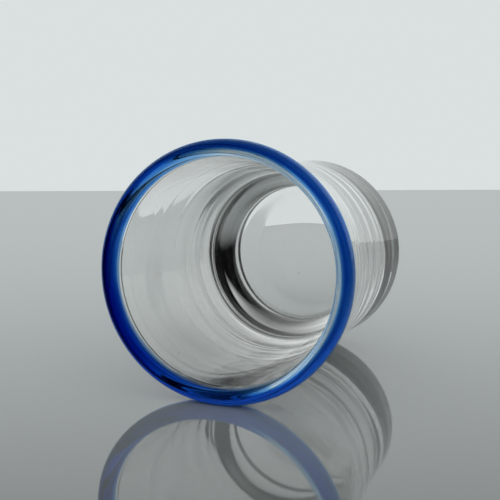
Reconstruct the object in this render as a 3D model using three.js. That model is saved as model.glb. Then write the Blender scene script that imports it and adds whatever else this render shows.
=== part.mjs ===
import * as THREE from 'three';

// A blown glass tumbler: a clear bowl with a heavy solid base, and a ring of blue glass
// laid round the outside of its lip. Millimetres, +Z up. The origin is the centre of the
// face that it stands on, and the axis of the glass runs along Z.

// Heights above the standing face
const overallHeight = 93;
const baseThickness = 15.6; // where the floor meets the cavity's side
const throatHeight = 30.4;

// Outside of the bowl: a nearly upright base that flares towards the lip
const lipOuterRadius = 43.1;
const footRadius = 29.1;
const heelWidth = 1.6;
const heelHeight = 4.1;
const heelSlope = 0.026; // widening per millimetre of height just above the heel
const shoulderSlope = 0.205; // and just under the blue ring

// Hollow under the foot
const recessRadius = 19.8;
const recessDepth = 2.2;

// Thickness of the glass, measured level, at the lip, the throat and the floor's corner
const lipThickness = 5.6;
const throatWall = 4.5;
const cornerWall = 8.75;

// How far the cavity departs from straight lines
const cavitySwell = 0.65; // its wall, outwards
const basinSwell = 1.05; // the side of the basin under the throat, inwards
const floorDish = 0.7;
const throatBlend = 4.9;
const cornerBlend = 1.2;

// Lip and its blue ring
const lipDrop = 3.7; // from the crest down to the widest part
const lipSquareness = 2.3; // 2 is round, more is squarer
const wrapHeight = 9;
const wrapThickness = 3.5;
const wrapProud = 2.2; // how far the ring stands out from the wall under it
const wrapClearance = 0.3; // between the ring and the clear rim inside it
const wrapEdge = 1.3; // by how much the ring narrows towards its lower edge
const wrapBend = 2.8; // height over that edge to which its rounded side still narrows

// How finely curves and rounds are cut
const turns = 72;
const curveSteps = 5;
const crownSteps = 16;

// Sizes that follow from those above
const lipCentreRadius = lipOuterRadius - lipThickness / 2;
const lipCentreHeight = overallHeight - lipDrop;
const rimInnerRadius = lipOuterRadius - lipThickness;
const wrapInnerRadius = lipOuterRadius - wrapThickness;
const rimOuterRadius = wrapInnerRadius - wrapClearance;
const shoulderHeight = overallHeight - wrapHeight;
const shoulderRadius = lipOuterRadius - wrapProud;
const heelRadius = footRadius + heelWidth;

// The outer wall from heel to shoulder, which starts and ends at its two given slopes
const wallThird = (shoulderHeight - heelHeight) / 3;
const outerWall = new THREE.CubicBezierCurve(
  new THREE.Vector2(heelRadius, heelHeight),
  new THREE.Vector2(heelRadius + heelSlope * wallThird, heelHeight + wallThird),
  new THREE.Vector2(shoulderRadius - shoulderSlope * wallThird, shoulderHeight - wallThird),
  new THREE.Vector2(shoulderRadius, shoulderHeight),
);

// Radius of the outer wall at a height. The curve's height grows evenly along it.
function outerWallAt(height) {
  return outerWall.getPoint((height - heelHeight) / (shoulderHeight - heelHeight)).x;
}

// Angle on the lip's squared-off half ellipse at which it has a given radius
function crownAngleAt(radius) {
  const across = (radius - lipCentreRadius) / (lipThickness / 2);
  return Math.acos(Math.sign(across) * Math.abs(across) ** (lipSquareness / 2));
}

// Follows the crown of the lip from its outer side, at angle 0, towards its inner side
function followCrown(outline, startAngle, endAngle) {
  const power = 2 / lipSquareness;
  for (let step = 0; step <= crownSteps; step += 1) {
    const angle = THREE.MathUtils.lerp(startAngle, endAngle, step / crownSteps);
    const across = Math.sign(Math.cos(angle)) * Math.abs(Math.cos(angle)) ** power;
    const rise = Math.abs(Math.sin(angle)) ** power;
    outline.lineTo(
      lipCentreRadius + (lipThickness / 2) * across,
      lipCentreHeight + lipDrop * rise,
    );
  }
}

// The point that lies a given distance from one point on the way to another
function stepTowards(from, to, distance) {
  return to.clone().sub(from).setLength(distance).add(from);
}

// Turns an outline of radius and height into a solid round the Z axis
function turn(name, outline, material) {
  const geometry = new THREE.LatheGeometry(outline.getPoints(curveSteps), turns);
  geometry.rotateX(Math.PI / 2);
  const mesh = new THREE.Mesh(geometry, material);
  mesh.name = name;
  return mesh;
}

// The clear bowl: hollow underside, standing ring, heel, wall, shoulder for the blue ring,
// squared rim, tapering cavity that narrows at the throat, and slightly dished floor
function makeBowl() {
  const rim = new THREE.Vector2(rimInnerRadius, lipCentreHeight);
  const throat = new THREE.Vector2(outerWallAt(throatHeight) - throatWall, throatHeight);
  const corner = new THREE.Vector2(outerWallAt(baseThickness) - cornerWall, baseThickness);
  const throatStart = stepTowards(throat, rim, throatBlend);
  const throatEnd = stepTowards(throat, corner, throatBlend);
  const cornerStart = stepTowards(corner, throat, cornerBlend);
  const floorEdge = new THREE.Vector2(corner.x - cornerBlend, baseThickness);
  const floorMiddle = new THREE.Vector2(0, baseThickness - floorDish);

  // A quadratic curve swells by half of its control point's offset
  const cavityBend = rim.clone().add(throatStart).multiplyScalar(0.5);
  cavityBend.x += 2 * cavitySwell;
  const basinRun = cornerStart.clone().sub(throatEnd);
  const basinNormal = new THREE.Vector2(basinRun.y, -basinRun.x).normalize();
  const basinBend = throatEnd.clone().add(cornerStart).multiplyScalar(0.5);
  basinBend.addScaledVector(basinNormal, 2 * basinSwell);

  const outline = new THREE.Path();
  outline.moveTo(0, recessDepth);
  outline.quadraticCurveTo(recessRadius / 2, recessDepth, recessRadius, 0);
  outline.lineTo(footRadius, 0);
  outline.absellipse(footRadius, heelHeight, heelWidth, heelHeight, -Math.PI / 2, 0, false);
  outline.bezierCurveTo(
    outerWall.v1.x, outerWall.v1.y, outerWall.v2.x, outerWall.v2.y, outerWall.v3.x, outerWall.v3.y,
  );
  outline.lineTo(rimOuterRadius, shoulderHeight);
  followCrown(outline, crownAngleAt(rimOuterRadius), Math.PI);
  outline.quadraticCurveTo(cavityBend.x, cavityBend.y, throatStart.x, throatStart.y);
  outline.quadraticCurveTo(throat.x, throat.y, throatEnd.x, throatEnd.y);
  outline.quadraticCurveTo(basinBend.x, basinBend.y, cornerStart.x, cornerStart.y);
  outline.quadraticCurveTo(corner.x, corner.y, floorEdge.x, floorEdge.y);
  outline.quadraticCurveTo(floorEdge.x / 2, floorMiddle.y, floorMiddle.x, floorMiddle.y);

  const clearGlass = new THREE.MeshStandardMaterial({
    color: 0xe4ebea,
    roughness: 0.05,
    metalness: 0,
    transparent: true,
    opacity: 0.35,
  });
  return turn('bowl', outline, clearGlass);
}

// The blue ring: sits flat on the bowl's shoulder, swells past the wall and is rounded
// over the outer half of the lip
function makeLipWrap() {
  const outline = new THREE.Path();
  outline.moveTo(wrapInnerRadius, shoulderHeight);
  outline.lineTo(lipOuterRadius - wrapEdge, shoulderHeight);
  outline.quadraticCurveTo(
    lipOuterRadius, shoulderHeight + wrapBend, lipOuterRadius, lipCentreHeight,
  );
  followCrown(outline, 0, crownAngleAt(wrapInnerRadius));
  outline.lineTo(wrapInnerRadius, shoulderHeight);

  const blueGlass = new THREE.MeshStandardMaterial({
    color: 0x0a2f8c,
    roughness: 0.05,
    metalness: 0,
    transparent: true,
    opacity: 0.85,
  });
  return turn('lip_wrap', outline, blueGlass);
}

const tumbler = new THREE.Group();
tumbler.add(makeBowl());
tumbler.add(makeLipWrap());

export default tumbler;
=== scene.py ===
import math

import bmesh
import bpy
import numpy as np
from mathutils import Matrix, Vector


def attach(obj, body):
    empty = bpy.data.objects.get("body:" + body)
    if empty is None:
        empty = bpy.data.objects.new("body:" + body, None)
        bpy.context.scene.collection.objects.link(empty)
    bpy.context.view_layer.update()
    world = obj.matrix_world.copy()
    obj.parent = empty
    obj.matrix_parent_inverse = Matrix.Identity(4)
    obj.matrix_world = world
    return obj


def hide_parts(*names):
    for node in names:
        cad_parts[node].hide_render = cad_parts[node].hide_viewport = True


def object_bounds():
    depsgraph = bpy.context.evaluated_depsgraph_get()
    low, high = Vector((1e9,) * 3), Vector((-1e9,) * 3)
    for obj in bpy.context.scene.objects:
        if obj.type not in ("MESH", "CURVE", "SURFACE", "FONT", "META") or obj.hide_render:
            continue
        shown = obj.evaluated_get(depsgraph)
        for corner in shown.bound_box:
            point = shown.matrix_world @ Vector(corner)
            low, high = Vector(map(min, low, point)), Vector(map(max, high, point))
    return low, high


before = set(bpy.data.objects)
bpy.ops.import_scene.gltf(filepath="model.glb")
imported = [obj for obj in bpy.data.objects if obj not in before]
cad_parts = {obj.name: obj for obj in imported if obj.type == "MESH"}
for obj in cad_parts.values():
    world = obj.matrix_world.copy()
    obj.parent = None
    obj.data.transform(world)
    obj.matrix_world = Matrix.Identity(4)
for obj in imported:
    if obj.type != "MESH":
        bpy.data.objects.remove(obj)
cad_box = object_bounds()

# The viewpoint: the glass lies on its side on a table and is seen through its mouth, from
# a little above the table and about 20 degrees off its axis. The frame keeps the glass
# upright, so the table leans against its side and the camera looks down from over the mouth.
CAMERA_PLACE = Vector((0.15997, 0.35413, 1.08707))
CAMERA_RIGHT = Vector((0.60873, 0.71500, -0.34384))
CAMERA_DOWN = Vector((0.77899, -0.62080, 0.08820))
LENS = 239.8  # millimetres, as is the sensor's width
SENSOR = 36.0
NEAREST = 0.01
FARTHEST = 50.0
BOUNCES = 40


def add_object(name, data):
    """Puts an object into the scene, at the origin and unturned."""
    added = bpy.data.objects.new(name, data)
    bpy.context.scene.collection.objects.link(added)
    return added


camera_data = bpy.data.cameras.new("viewpoint")
camera_data.lens = LENS
camera_data.sensor_width = SENSOR
camera_data.clip_start = NEAREST
camera_data.clip_end = FARTHEST
camera = add_object("viewpoint", camera_data)
camera_back = CAMERA_RIGHT.cross(-CAMERA_DOWN)
camera_axes = Matrix((CAMERA_RIGHT, -CAMERA_DOWN, camera_back)).transposed()
camera.matrix_world = Matrix.Translation(CAMERA_PLACE) @ camera_axes.to_4x4()
bpy.context.scene.camera = camera
bpy.context.scene.view_settings.view_transform = "Standard"

# Light is passed along inside thick glass by many inner reflections
cycles = bpy.context.scene.cycles
cycles.max_bounces = BOUNCES
cycles.glossy_bounces = BOUNCES
cycles.transmission_bounces = BOUNCES
cycles.transparent_max_bounces = BOUNCES

# The bowl: one gather of clear soda-lime glass, blown thin at the wall and left heavy at
# the base. The tools leave faint rings round the wall, and the foot is slightly hollow.
# Its sizes are in millimetres, and heights are measured from the standing face.
MM = 0.001
INSET = 0.03  # how far its lip stays inside the solid's box, which leaves room for the blue skin
OVERALL_HEIGHT = round(cad_box[1][2] / MM, 1) - INSET
LIP_OUTER_RADIUS = round(cad_box[1][0] / MM, 1) - INSET

# Outer side: a rounded heel, and a wall that starts nearly upright and flares to a shoulder
FOOT_RADIUS = 29.1
HEEL_WIDTH = 1.6
HEEL_HEIGHT = 4.1
HEEL_SLOPE = 0.026  # widening per millimetre of height just above the heel
SHOULDER_SLOPE = 0.205  # and just under the lip's bead
BEAD_HEIGHT = 9.0
BEAD_PROUD = 2.2  # how far the bead stands out from the wall under it
SHOULDER_HEIGHT = OVERALL_HEIGHT - BEAD_HEIGHT
SHOULDER_RADIUS = LIP_OUTER_RADIUS - BEAD_PROUD
HEEL_STEPS = 14
WALL_STEPS = 96


def curve(points, steps, gather=1):
    """A Bezier curve from its first point to its last. Gathered steps are shorter at first."""
    share = np.linspace(0, 1, steps + 1)[:, None] ** gather
    level = [np.array(point, float) for point in points]
    while len(level) > 1:
        level = [(1 - share) * before + share * after for before, after in zip(level, level[1:])]
    return level[0]


quarter = np.linspace(-math.pi / 2, 0, HEEL_STEPS + 1)
heel = np.stack([
    FOOT_RADIUS + HEEL_WIDTH * np.cos(quarter),
    HEEL_HEIGHT * (1 + np.sin(quarter)),
], 1)
heel_end = np.array((FOOT_RADIUS + HEEL_WIDTH, HEEL_HEIGHT))
shoulder = np.array((SHOULDER_RADIUS, SHOULDER_HEIGHT))
third = (SHOULDER_HEIGHT - HEEL_HEIGHT) / 3
wall = curve([
    heel_end,
    heel_end + np.array((HEEL_SLOPE, 1)) * third,
    shoulder - np.array((SHOULDER_SLOPE, 1)) * third,
    shoulder,
], WALL_STEPS)


def wall_radius(height):
    """Radius of the outer wall at a height."""
    return np.interp(height, wall[:, 1], wall[:, 0])


# Cavity: a slightly swelling wall that narrows at a throat, with a small basin under it. The
# thickness of the glass is measured level.
BASE_THICKNESS = 15.6
THROAT_HEIGHT = 30.4
THROAT_WALL = 4.5
THROAT_BLEND = 4.9
CORNER_WALL = 8.75
CORNER_BLEND = 1.2
CAVITY_SWELL = 0.65  # of its wall, outwards
BASIN_SWELL = 1.05  # of the basin's side, inwards
LIP_THICKNESS = 5.6
LIP_DROP = 3.7  # from the crest down to the widest part
LIP_CENTRE_HEIGHT = OVERALL_HEIGHT - LIP_DROP
THROAT_STEPS = 12
BASIN_STEPS = 12
CORNER_STEPS = 10
CAVITY_STEPS = 120
CAVITY_GATHER = 1.8  # its steps are finest under the lip


def towards(start, end, distance):
    """The point that lies a distance from one point on the way to another."""
    run = end - start
    return start + run * distance / np.linalg.norm(run)


rim = np.array((LIP_OUTER_RADIUS - LIP_THICKNESS, LIP_CENTRE_HEIGHT))
throat = np.array((wall_radius(THROAT_HEIGHT) - THROAT_WALL, THROAT_HEIGHT))
corner = np.array((wall_radius(BASE_THICKNESS) - CORNER_WALL, BASE_THICKNESS))
throat_start = towards(throat, rim, THROAT_BLEND)
throat_end = towards(throat, corner, THROAT_BLEND)
corner_start = towards(corner, throat, CORNER_BLEND)

# A curve with one bend swells by half of what its bend is moved
cavity_bend = (rim + throat_start) / 2 + np.array((2 * CAVITY_SWELL, 0))
basin_run = corner_start - throat_end
basin_inwards = basin_run[::-1] * (1, -1) / np.linalg.norm(basin_run)
basin_bend = (throat_end + corner_start) / 2 + basin_inwards * 2 * BASIN_SWELL
cavity_wall = curve([rim, cavity_bend, throat_start], CAVITY_STEPS, CAVITY_GATHER)

# Floor of the cavity and hollow under the foot, both shallow dishes
FLOOR_DISH = 0.7
FLOOR_POWER = 3.0
FLOOR_STEPS = 23
RECESS_RADIUS = 19.8
RECESS_DEPTH = 2.2
RECESS_POWER = 2.3
RECESS_STEPS = 24
STANDING_STEPS = 6


def dish(across, radius, depth, power):
    """How deep a dish is at each distance from its middle. A higher power is flatter there."""
    return depth * (1 - (across / radius) ** power)


def line(start, end, steps):
    """Evenly spaced points on a straight line."""
    return np.linspace(start, end, steps + 1)


recess_across = np.linspace(0, RECESS_RADIUS, RECESS_STEPS + 1)
recess_height = dish(recess_across, RECESS_RADIUS, RECESS_DEPTH, RECESS_POWER)
recess = np.stack([recess_across, recess_height], 1)
standing_ring = line((RECESS_RADIUS, 0), (FOOT_RADIUS, 0), STANDING_STEPS)
floor_across = np.linspace(corner[0] - CORNER_BLEND, 0, FLOOR_STEPS + 1)
floor_height = BASE_THICKNESS - dish(floor_across, corner[0], FLOOR_DISH, FLOOR_POWER)
floor = np.stack([floor_across, floor_height], 1)

# Lip: a bead with a narrow rounded ledge, a swelling flank and a squared-off crown
LIP_SQUARENESS = 2.3  # 2 is round, more is squarer
BEAD_EDGE = 1.2  # by how much the bead narrows towards its lower edge
LEDGE_ROUND = 0.3
FLANK_BEND = 2.5  # height of the flank's bend over the ledge
LEDGE_STEPS = 3
LEDGE_ROUND_STEPS = 5
FLANK_STEPS = 16
CROWN_STEPS = 48


def crown(centre, radii, squareness, steps):
    """The upper half of a squared-off ellipse, from its outer to its inner side."""
    angles = np.linspace(0, math.pi, steps + 1)
    cosines = np.cos(angles)
    power = 2 / squareness
    across = centre[0] + radii[0] * np.sign(cosines) * np.abs(cosines) ** power
    height = centre[1] + radii[1] * np.abs(np.sin(angles)) ** power
    return np.stack([across, height], 1)


def joined(stretches):
    """One outline from stretches that each start where the last one ends."""
    return np.concatenate([stretches[0]] + [stretch[1:] for stretch in stretches[1:]])


lip_centre = (LIP_OUTER_RADIUS - LIP_THICKNESS / 2, LIP_CENTRE_HEIGHT)
lip_radii = (LIP_THICKNESS / 2, LIP_DROP)
widest = (LIP_OUTER_RADIUS, LIP_CENTRE_HEIGHT)
ledge = (LIP_OUTER_RADIUS - BEAD_EDGE - LEDGE_ROUND, SHOULDER_HEIGHT)
ledge_corner = (ledge[0] + LEDGE_ROUND, SHOULDER_HEIGHT)
ledge_top = (LIP_OUTER_RADIUS - BEAD_EDGE, SHOULDER_HEIGHT + LEDGE_ROUND)
flank_bend = (LIP_OUTER_RADIUS, ledge_top[1] + FLANK_BEND)
lip = joined([
    line(shoulder, ledge, LEDGE_STEPS),
    curve([ledge, ledge_corner, ledge_top], LEDGE_ROUND_STEPS),
    curve([ledge_top, flank_bend, widest], FLANK_STEPS),
    crown(lip_centre, lip_radii, LIP_SQUARENESS, CROWN_STEPS),
])

# Blowing and tooling leave the wall a little uneven: long soft waves, shallow grooves where
# the jacks pressed, and a small step in the cavity's side under the bead of the lip
TURNS = 192
WAVES = 14
WAVE_HEIGHT = 0.03
WAVE_LENGTH = 28.0  # of the shortest wave, up the wall
WAVE_ROUNDS = 6  # the most waves round the glass
WAVE_FADE = 0.12  # share of the wall's height over which they fade at either end
OUTER_WAVE_SEED = 5
CAVITY_WAVE_SEED = 8
GROOVES = (34.0, 40.0, 52.0, 64.0, 69.0)
GROOVE_DEPTH = 0.05
GROOVE_WIDTH = 0.7
GROOVE_CHANGE = 0.4  # share by which a groove's depth changes round the glass
GROOVE_SHIFT = 2  # radians by which that change is turned from one groove to the next
STEP_HEIGHT = 87.0
STEP_DEPTH = 0.55
STEP_RISE = 0.5
STEP_FADE = 5.0
turn_angles = np.linspace(0, 2 * math.pi, TURNS, endpoint=False)[:, None]


def smooth(share):
    """A share from 0 to 1 that leaves both of its ends gently."""
    share = np.clip(share, 0, 1)
    return share * share * (3 - 2 * share)


def uneven(stretch, seed):
    """A stretch of wall for each turn, with soft waves that fade at both of its ends."""
    chance = np.random.default_rng(seed)
    waves = np.zeros((TURNS, len(stretch)))
    for _ in range(WAVES):
        rounds = chance.integers(0, WAVE_ROUNDS + 1)
        rise = chance.uniform(-1, 1) * 2 * math.pi / WAVE_LENGTH
        start = chance.uniform(0, 2 * math.pi)
        waves += np.sin(rounds * turn_angles + rise * stretch[:, 1] + start)
    share = np.linspace(0, 1, len(stretch))
    waves *= smooth(np.minimum(share, 1 - share) / WAVE_FADE) * WAVE_HEIGHT / math.sqrt(WAVES / 2)
    walls = np.repeat(stretch[None], TURNS, 0)
    walls[:, :, 0] += waves
    return walls


outer_walls = uneven(wall, OUTER_WAVE_SEED)
for order, height in enumerate(GROOVES):
    depth = GROOVE_DEPTH * (1 + GROOVE_CHANGE * np.sin(turn_angles + GROOVE_SHIFT * order))
    from_groove = (wall[:, 1] - height) / GROOVE_WIDTH
    outer_walls[:, :, 0] -= depth * np.exp(-from_groove ** 2)
under_step = np.clip(STEP_HEIGHT - cavity_wall[:, 1], 0, None)
cavity_wall[:, 0] += STEP_DEPTH * smooth(under_step / STEP_RISE) * np.exp(-under_step / STEP_FADE)
inner_walls = uneven(cavity_wall, CAVITY_WAVE_SEED)
basin = [
    curve([throat_start, throat, throat_end], THROAT_STEPS),
    curve([throat_end, basin_bend, corner_start], BASIN_STEPS),
    curve([corner_start, corner, floor[0]], CORNER_STEPS),
]
outlines = np.array([
    joined([recess, standing_ring, heel, outer_wall, lip, inner_wall, *basin, floor])
    for outer_wall, inner_wall in zip(outer_walls, inner_walls)
])


def turned(name, outlines, closed=False):
    """A mesh turned round the Z axis from one outline for each turn. A closed outline joins
    its end to its start, and an open one starts and ends on the axis."""
    rings = outlines if closed else outlines[:, 1:-1]
    count = rings.shape[1]
    points = np.stack([
        rings[:, :, 0] * np.cos(turn_angles),
        rings[:, :, 0] * np.sin(turn_angles),
        rings[:, :, 1],
    ], 2).reshape(-1, 3)
    faces = []
    for turn in range(TURNS):
        here = turn * count
        there = (turn + 1) % TURNS * count
        for step in range(count if closed else count - 1):
            after = (step + 1) % count
            faces.append((here + step, there + step, there + after, here + after))
    if not closed:
        low, high = len(points), len(points) + 1
        points = np.vstack([points, (0, 0, outlines[0, 0, 1]), (0, 0, outlines[0, -1, 1])])
        for turn in range(TURNS):
            here = turn * count
            there = (turn + 1) % TURNS * count
            faces.append((low, there, here))
            faces.append((high, here + count - 1, there + count - 1))
    mesh = bpy.data.meshes.new(name)
    mesh.from_pydata((points * MM).tolist(), [], faces)
    mesh.polygons.foreach_set("use_smooth", [True] * len(mesh.polygons))
    mesh.update()
    return add_object(name, mesh)


bowl = turned("bowl_glass", outlines)

# Seeds: gas bubbles that stayed in the melt, small closed hollows inside the glass. A few sit
# where the wall and the floor show them best, the rest lie scattered through the wall.
SEED_COUNT = 26
SEED_LEAST = 0.10
SEED_MOST = 0.24
SEED_STRETCH = 1.4
SEED_SIDES = 12
SEED_RINGS = 8
SEED_CHANCE = 17
SEEDS_ABOVE_THROAT = 8.0
SEEDS_UNDER_SHOULDER = 4.0
SEEDS_INMOST = 0.3  # shares of the way out through the wall
SEEDS_OUTMOST = 0.7

# Degrees round the glass, distance from its axis, height and radius of each seed
seeds = [
    (203, 33.3, 54.0, 0.24),
    (205, 33.5, 54.6, 0.17),
    (214, 7.3, 13.0, 0.16),
    (305, 7.8, 12.6, 0.22),
]
chance = np.random.default_rng(SEED_CHANCE)
for _ in range(SEED_COUNT):
    height = chance.uniform(THROAT_HEIGHT + SEEDS_ABOVE_THROAT, SHOULDER_HEIGHT - SEEDS_UNDER_SHOULDER)
    inner_side = np.interp(height, cavity_wall[::-1, 1], cavity_wall[::-1, 0])
    through_wall = chance.uniform(SEEDS_INMOST, SEEDS_OUTMOST)
    out_by = inner_side + (wall_radius(height) - inner_side) * through_wall
    degrees = chance.uniform(0, 360)
    seeds.append((degrees, out_by, height, chance.uniform(SEED_LEAST, SEED_MOST)))
hollows = bmesh.new()
for degrees, out_by, height, size in seeds:
    bearing = math.radians(degrees)
    spot = Vector((out_by * math.cos(bearing), out_by * math.sin(bearing), height)) * MM
    bmesh.ops.create_uvsphere(
        hollows,
        u_segments=SEED_SIDES,
        v_segments=SEED_RINGS,
        radius=size * MM,
        matrix=Matrix.Translation(spot) @ Matrix.Diagonal((1, 1, SEED_STRETCH, 1)),
    )
bmesh.ops.reverse_faces(hollows, faces=hollows.faces)
for face in hollows.faces:
    face.smooth = True
hollows.from_mesh(bowl.data)
hollows.to_mesh(bowl.data)
hollows.free()

# Soda-lime glass, blown and fire-polished, so its own surface is clear and fully glossy. Use
# has left a faint haze on the cavity's side and fine scratches on the standing ring, and
# both show as soft grey patches.
CLEAR = "fffffe"
GLASS_INDEX = 1.5
PATCH_SIZE = 16.7  # millimetres from one patch of wear to the next
HAZE = 0.08  # its greatest roughness
HAZE_PATCHES = (0.1, 0.7)
HAZE_FROM = 31.0 * MM
HAZE_FULL = 38.0 * MM
HAZE_THINS_FROM = 86.0 * MM
HAZE_END = 88.0 * MM
WALL_SLANT = 0.178  # how much the middle of the wall widens with its height
MIDDLE_OF_WALL = 24.1 * MM  # its radius, carried down to the standing face
SIDE_BLEND = 0.2 * MM
GROUND = 0.26  # greatest roughness of the standing ring
GROUND_PATCHES = (-0.4, 0.6)
GROUND_FULL_UNDER = 0.2 * MM
GROUND_END = 0.6 * MM
GROUND_FROM = 18.8 * MM
GROUND_FULL_FROM = 19.6 * MM


def linear(hex_colour):
    """An sRGB hex colour as linear red, green, blue and 1."""
    parts = [int(hex_colour[i:i + 2], 16) / 255 for i in (0, 2, 4)]
    return (*[c / 12.92 if c <= 0.04045 else ((c + 0.055) / 1.055) ** 2.4 for c in parts], 1.0)


def add_node(tree, kind, inputs=None, **settings):
    """Adds a node with its settings. Each input gets a link from a socket, or a value."""
    node = tree.nodes.new(kind)
    for name, value in settings.items():
        setattr(node, name, value)
    for name, value in (inputs or {}).items():
        if isinstance(value, bpy.types.NodeSocket):
            tree.links.new(value, node.inputs[name])
        else:
            node.inputs[name].default_value = value
    return node


def new_material(name):
    """An empty node material, its tree and its output node."""
    material = bpy.data.materials.new(name)
    material.use_nodes = True
    material.node_tree.nodes.clear()
    output = material.node_tree.nodes.new("ShaderNodeOutputMaterial")
    return material, material.node_tree, output


def places_in_glass(tree):
    """A place in the glass, that place brought level, its radius and its height."""
    place = add_node(tree, "ShaderNodeTexCoord").outputs["Object"]
    axes = add_node(tree, "ShaderNodeSeparateXYZ", {0: place})
    level = add_node(tree, "ShaderNodeCombineXYZ", {0: axes.outputs[0], 1: axes.outputs[1]})
    radius = add_node(tree, "ShaderNodeVectorMath", {0: level.outputs[0]}, operation="LENGTH")
    return place, level.outputs[0], radius.outputs["Value"], axes.outputs[2]


def ramp(tree, value, low, high, **settings):
    """0 where a value is at low, 1 where it is at high, and never outside them."""
    ends = {"Value": value, "From Min": low, "From Max": high}
    return add_node(tree, "ShaderNodeMapRange", ends, **settings).outputs[0]


def product(tree, *factors):
    """All factors multiplied."""
    total = factors[0]
    for factor in factors[1:]:
        pair = {0: total, 1: factor}
        total = add_node(tree, "ShaderNodeMath", pair, operation="MULTIPLY").outputs[0]
    return total


clear_glass, tree, output = new_material("soda_lime_glass_blown")
place, _, radius, height = places_in_glass(tree)
from_cone = add_node(tree, "ShaderNodeMath", {
    0: height,
    1: -WALL_SLANT,
    2: radius,
}, operation="MULTIPLY_ADD").outputs[0]
patches = add_node(tree, "ShaderNodeTexNoise", {
    "Vector": place,
    "Scale": 1 / (PATCH_SIZE * MM),
}).outputs["Fac"]
haze = product(
    tree,
    ramp(tree, from_cone, MIDDLE_OF_WALL + SIDE_BLEND, MIDDLE_OF_WALL - SIDE_BLEND),
    ramp(tree, height, HAZE_FROM, HAZE_FULL),
    ramp(tree, height, HAZE_END, HAZE_THINS_FROM),
    ramp(tree, patches, *HAZE_PATCHES),
    HAZE,
)
ground = product(
    tree,
    ramp(tree, height, GROUND_END, GROUND_FULL_UNDER),
    ramp(tree, radius, GROUND_FROM, GROUND_FULL_FROM),
    ramp(tree, patches, *GROUND_PATCHES),
    GROUND,
)
dulled = add_node(tree, "ShaderNodeMath", {0: haze, 1: ground}, operation="MAXIMUM")
surface = add_node(tree, "ShaderNodeBsdfPrincipled", {
    "Base Color": linear(CLEAR),
    "Roughness": dulled.outputs[0],
    "IOR": GLASS_INDEX,
    "Transmission Weight": 1.0,
})
tree.links.new(surface.outputs[0], output.inputs["Surface"])
bowl.data.materials.append(clear_glass)
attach(bowl, "root")
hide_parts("bowl")

# The lip wrap: a thread of cobalt glass that was laid hot round the outside of the lip and
# smoothed over its crown. It thins past the crest and comes near the inner edge only on one
# side, so the other side's crown stays clear. Its thicknesses are in millimetres.
WRAP_FLANK = 1.3
WRAP_TOP = 2.2
WRAP_SKIN = 0.02  # how far its outside stands off the clear lip
WRAP_LOWEST = 84.6
WRAP_HEM = 0.15
HEM_STEPS = 4
CLEAR_STEPS = 6  # steps at the inner end of the crown that it never reaches
THINS_FROM = 1.35  # angles on the crown, in radians
THINS_TO = 1.75
LEVEL_MOST = 0.1  # its greatest thickness past the crest, measured level
COAT_BARE = 0.06
COAT_THIN = 0.9
COAT_THICK = 2.0

# Degrees round the ring, and how thick the blue is there past the crest
COAT_ROUND_RING = (
    (0, COAT_BARE),
    (138, COAT_BARE),
    (165, COAT_THIN),
    (215, COAT_THIN),
    (240, COAT_THICK),
    (325, COAT_THICK),
    (345, COAT_BARE),
    (360, COAT_BARE),
)

coat = np.interp(np.degrees(turn_angles[:, 0]), *zip(*COAT_ROUND_RING))
coated = lip[:-CLEAR_STEPS]
coated = coated[coated[:, 1] > WRAP_LOWEST]
run = np.gradient(coated, axis=0)
out_of_glass = np.stack([run[:, 1], -run[:, 0]], 1) / np.linalg.norm(run, axis=1)[:, None]
outside = coated + out_of_glass * WRAP_SKIN
hem_end = coated[0] - (WRAP_HEM, 0)
crown_angles = np.linspace(0, math.pi, CROWN_STEPS + 1)
past_crest = smooth((crown_angles - THINS_FROM) / (THINS_TO - THINS_FROM))
sections = []
for thickness in coat:
    level_cut = WRAP_FLANK + (min(thickness, LEVEL_MOST) - WRAP_FLANK) * past_crest
    upright_cut = WRAP_TOP + (thickness - WRAP_TOP) * past_crest
    inner_radii = (lip_radii[0] - level_cut, lip_radii[1] - upright_cut)
    inside = crown(lip_centre, inner_radii, LIP_SQUARENESS, CROWN_STEPS)[:-CLEAR_STEPS]
    hem = line(inside[0], hem_end, HEM_STEPS)[1:]
    sections.append(np.concatenate([outside, inside[::-1], hem]))
wrap = turned("lip_blue", np.array(sections), closed=True)

# Soda-lime glass coloured with cobalt, drawn out and laid on hot. It looks deeper blue where
# light goes further through it, and its streaks run along the ring. It doesn't bend light
# here, because the clear lip right under it carries the gloss.
BLUE = "3fc0ef"
DEPTH_OF_BLUE = 2400.0  # per metre of glass
STREAK_PALE = "f7fcff"
STREAK_DEEP = "81bcf1"
STREAK_WIDTH = 0.4167  # millimetres
STREAK_LENGTH = 17.23  # millimetres along the ring
STREAK_DETAIL = 3.0
STREAK_CONTRAST = (0.40, 0.66)
NO_BEND = 1.0


def mixed(tree, share, first, second):
    """A colour between two others. A Mix node takes them as its inputs 6 and 7."""
    parts = {"Factor": share, 6: first, 7: second}
    return add_node(tree, "ShaderNodeMix", parts, data_type="RGBA").outputs[2]


blue_glass, tree, output = new_material("cobalt_glass")
_, level, radius, height = places_in_glass(tree)
bearing = add_node(tree, "ShaderNodeVectorMath", {0: level}, operation="NORMALIZE")
round_ring = add_node(tree, "ShaderNodeVectorMath", {
    0: bearing.outputs[0],
    "Scale": LIP_OUTER_RADIUS / STREAK_LENGTH,
}, operation="SCALE")
across_streaks = 1 / (STREAK_WIDTH * MM)
out_by = add_node(tree, "ShaderNodeCombineXYZ", {2: product(tree, radius, across_streaks)})
where = add_node(tree, "ShaderNodeVectorMath", {
    0: round_ring.outputs[0],
    1: out_by.outputs[0],
}, operation="ADD")
streaks = add_node(tree, "ShaderNodeTexNoise", {
    "Vector": where.outputs[0],
    "W": product(tree, height, across_streaks),
    "Scale": 1.0,
    "Detail": STREAK_DETAIL,
}, noise_dimensions="4D").outputs["Fac"]
deepened = ramp(tree, streaks, *STREAK_CONTRAST, interpolation_type="SMOOTHSTEP")
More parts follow.
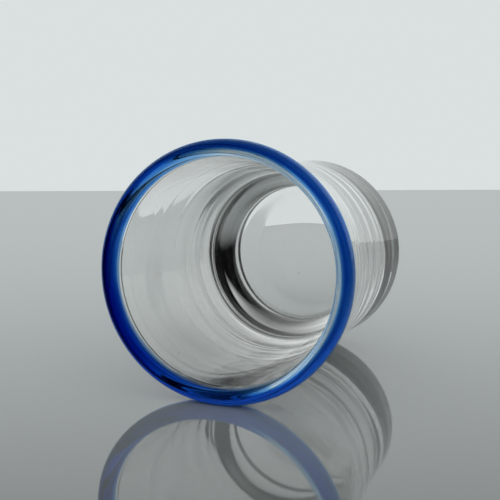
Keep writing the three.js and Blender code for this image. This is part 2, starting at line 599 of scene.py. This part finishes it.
surface = add_node(tree, "ShaderNodeBsdfPrincipled", {
    "Base Color": mixed(tree, deepened, linear(STREAK_PALE), linear(STREAK_DEEP)),
    "Roughness": 0.0,
    "IOR": NO_BEND,
    "Transmission Weight": 1.0,
})
absorb = add_node(tree, "ShaderNodeVolumeAbsorption", {
    "Color": linear(BLUE),
    "Density": DEPTH_OF_BLUE,
})
tree.links.new(surface.outputs[0], output.inputs["Surface"])
tree.links.new(absorb.outputs[0], output.inputs["Volume"])
wrap.data.materials.append(blue_glass)
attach(wrap, "root")
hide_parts("lip_wrap")

# The table: a board of pale polished acrylic that the glass lies on. It leans against the
# upright glass, and only its upper side is drawn, so that it hides nothing from behind.
# Its places and sizes are in metres.
TABLE_NORMAL = Vector((-0.70005, 0.70005, 0.14094))
TABLE_POINT = Vector((0.03041, -0.03041, 0.09077))
TABLE_SINK = 0.0001
HALF_WIDTH = 0.7
LENGTH = 1.2

# Where the back edge of the table crosses the sides of the picture, in pixels from its top
PICTURE = 500
EDGE_AT_LEFT = 191.0
EDGE_AT_RIGHT = 189.5


def ray_to_table(across, down):
    """Where the line of sight through a place in the picture meets the table."""
    focal = LENS / SENSOR * PICTURE
    forward = CAMERA_RIGHT.cross(CAMERA_DOWN)
    from_middle = CAMERA_RIGHT * (across - PICTURE / 2) + CAMERA_DOWN * (down - PICTURE / 2)
    ray = forward * focal + from_middle
    reach = (TABLE_POINT - CAMERA_PLACE).dot(TABLE_NORMAL) / ray.dot(TABLE_NORMAL)
    return CAMERA_PLACE + ray * reach


edge_left = ray_to_table(0, EDGE_AT_LEFT)
edge_right = ray_to_table(PICTURE, EDGE_AT_RIGHT)
edge_middle = (edge_left + edge_right) / 2
along_edge = (edge_right - edge_left).normalized()
nearer = along_edge.cross(TABLE_NORMAL).normalized()
sunk_middle = edge_middle - TABLE_NORMAL * TABLE_SINK
corners = [
    sunk_middle + along_edge * HALF_WIDTH,
    sunk_middle - along_edge * HALF_WIDTH,
    sunk_middle - along_edge * HALF_WIDTH + nearer * LENGTH,
    sunk_middle + along_edge * HALF_WIDTH + nearer * LENGTH,
]
mesh = bpy.data.meshes.new("table")
mesh.from_pydata([tuple(place) for place in corners], [], [(0, 1, 2, 3)])
mesh.update()
table = add_object("table", mesh)

# Acrylic, cast and polished: a soft pale body under a clear gloss that mirrors the glass. Shade is
# painted on the body, which darkens away from the back edge as the light on the table falls off
# towards the viewpoint. Both faces of the board mirror. Where one of them mirrors a share of the
# light, both together mirror twice the share over one plus the share.
BOARD_INDEX = 1.5
BOARD_TONE = "e2e6e5"
# Painted shade on the board's body: how far from the back edge it darkens, and the share of its tone
# left there
PAINTED_SHADE_LENGTH = 0.5
PAINTED_SHADE_LEAST = 0.13
BOARD_GLOSS = 1.3  # raises the gloss to the strength of the mirror image
GLOSS_TONE = "c8c8c8"
GLOSS_ROUGHNESS = 0.03


def reach_along(tree, vector, direction):
    """How far a place or another direction reaches along a direction."""
    pair = {0: vector, 1: tuple(direction)}
    return add_node(tree, "ShaderNodeVectorMath", pair, operation="DOT_PRODUCT").outputs["Value"]


board, tree, output = new_material("polished_acrylic")
place = add_node(tree, "ShaderNodeTexCoord").outputs["Object"]
back_edge = edge_middle.dot(nearer)
# Painted shade: the body's tone is full at the back edge and falls towards the viewpoint, where less
# light falls on the table
painted_shade = add_node(tree, "ShaderNodeMapRange", {
    "Value": reach_along(tree, place, nearer),
    "From Min": back_edge,
    "From Max": back_edge + PAINTED_SHADE_LENGTH,
    "To Min": 1.0,
    "To Max": PAINTED_SHADE_LEAST,
}, interpolation_type="SMOOTHSTEP")
shaded_tone = add_node(tree, "ShaderNodeVectorMath", {
    0: linear(BOARD_TONE)[:3],
    "Scale": painted_shade.outputs[0],
}, operation="SCALE")
body = add_node(tree, "ShaderNodeBsdfDiffuse", {"Color": shaded_tone.outputs[0]})
mirror = add_node(tree, "ShaderNodeBsdfGlossy", {
    "Color": linear(GLOSS_TONE),
    "Roughness": GLOSS_ROUGHNESS,
})
one_face = add_node(tree, "ShaderNodeFresnel", {"IOR": BOARD_INDEX}).outputs[0]
one_and_share = add_node(tree, "ShaderNodeMath", {0: one_face, 1: 1.0}, operation="ADD")
both_faces = add_node(tree, "ShaderNodeMath", {
    0: product(tree, one_face, 2.0),
    1: one_and_share.outputs[0],
}, operation="DIVIDE")
polished = add_node(tree, "ShaderNodeMixShader", {
    0: product(tree, both_faces.outputs[0], BOARD_GLOSS),
    1: body.outputs[0],
    2: mirror.outputs[0],
})
unseen = add_node(tree, "ShaderNodeBsdfTransparent")
facing = add_node(tree, "ShaderNodeNewGeometry")
one_sided = add_node(tree, "ShaderNodeMixShader", {
    0: facing.outputs["Backfacing"],
    1: polished.outputs[0],
    2: unseen.outputs[0],
})
tree.links.new(one_sided.outputs[0], output.inputs["Surface"])
table.data.materials.append(board)

# The room: plain and pale for all that looks straight at it or straight through the glass.
# Only light that was mirrored on its way meets greyer sides and high walls, a dark ceiling
# and an unlit side behind the viewpoint, which give the base and the lip their dark bands.
PALE = linear("dae0e0")
BRIGHT = linear("e3e8e8")
ASIDE = linear("c8cccb")
HIGH = linear("767a78")
CEILING = linear("40403e")
UNLIT = linear("0a0a0a")
GLASS_MIDDLE = Vector((0, 0, 0.045))

# How squarely a line of sight points up, sideways or to the viewpoint where each tone starts
# and where it is full
BRIGHT_REACH = (-0.20, 0.20)
RIGHT_REACH = (0.27, 0.50)
LEFT_REACH = (-0.51, -0.85)
HIGH_REACH = (0.35, 0.85)
CEILING_REACH = (0.78, 0.93)
FRONT_REACH = (-0.44, -0.345)
MIRRORED_ONCE = 0.5

world = bpy.data.worlds.new("room")
bpy.context.scene.world = world
world.use_nodes = True
tree = world.node_tree
tree.nodes.clear()
output = tree.nodes.new("ShaderNodeOutputWorld")
to_viewpoint = (CAMERA_PLACE - GLASS_MIDDLE).normalized()
room_up = TABLE_NORMAL.normalized()
room_front = (to_viewpoint - room_up * to_viewpoint.dot(room_up)).normalized()
room_side = room_up.cross(room_front)
sight = add_node(tree, "ShaderNodeTexCoord").outputs["Generated"]
upwards = reach_along(tree, sight, room_up)
sideways = reach_along(tree, sight, room_side)
frontwards = reach_along(tree, sight, room_front)

backdrop = mixed(tree, ramp(tree, upwards, *BRIGHT_REACH), PALE, BRIGHT)
to_side = add_node(tree, "ShaderNodeMath", {
    0: ramp(tree, sideways, *RIGHT_REACH),
    1: ramp(tree, sideways, *LEFT_REACH),
}, operation="MAXIMUM")
low_walls = mixed(tree, to_side.outputs[0], backdrop, ASIDE)
walls = mixed(tree, ramp(tree, upwards, *HIGH_REACH), low_walls, HIGH)
behind = mixed(tree, ramp(tree, upwards, *CEILING_REACH), UNLIT, CEILING)
room = mixed(tree, ramp(tree, frontwards, *FRONT_REACH), walls, behind)

path = add_node(tree, "ShaderNodeLightPath")
plain = add_node(tree, "ShaderNodeBackground", {"Color": PALE, "Strength": 1.0})
gathered = add_node(tree, "ShaderNodeBackground", {"Color": room, "Strength": 1.0})
was_mirrored = add_node(tree, "ShaderNodeMath", {
    0: path.outputs["Glossy Depth"],
    1: MIRRORED_ONCE,
}, operation="GREATER_THAN")
through_glass = add_node(tree, "ShaderNodeMixShader", {
    0: was_mirrored.outputs[0],
    1: plain.outputs[0],
    2: gathered.outputs[0],
})
light = add_node(tree, "ShaderNodeMixShader", {
    0: path.outputs["Is Diffuse Ray"],
    1: through_glass.outputs[0],
    2: plain.outputs[0],
})
tree.links.new(light.outputs[0], output.inputs["Surface"])
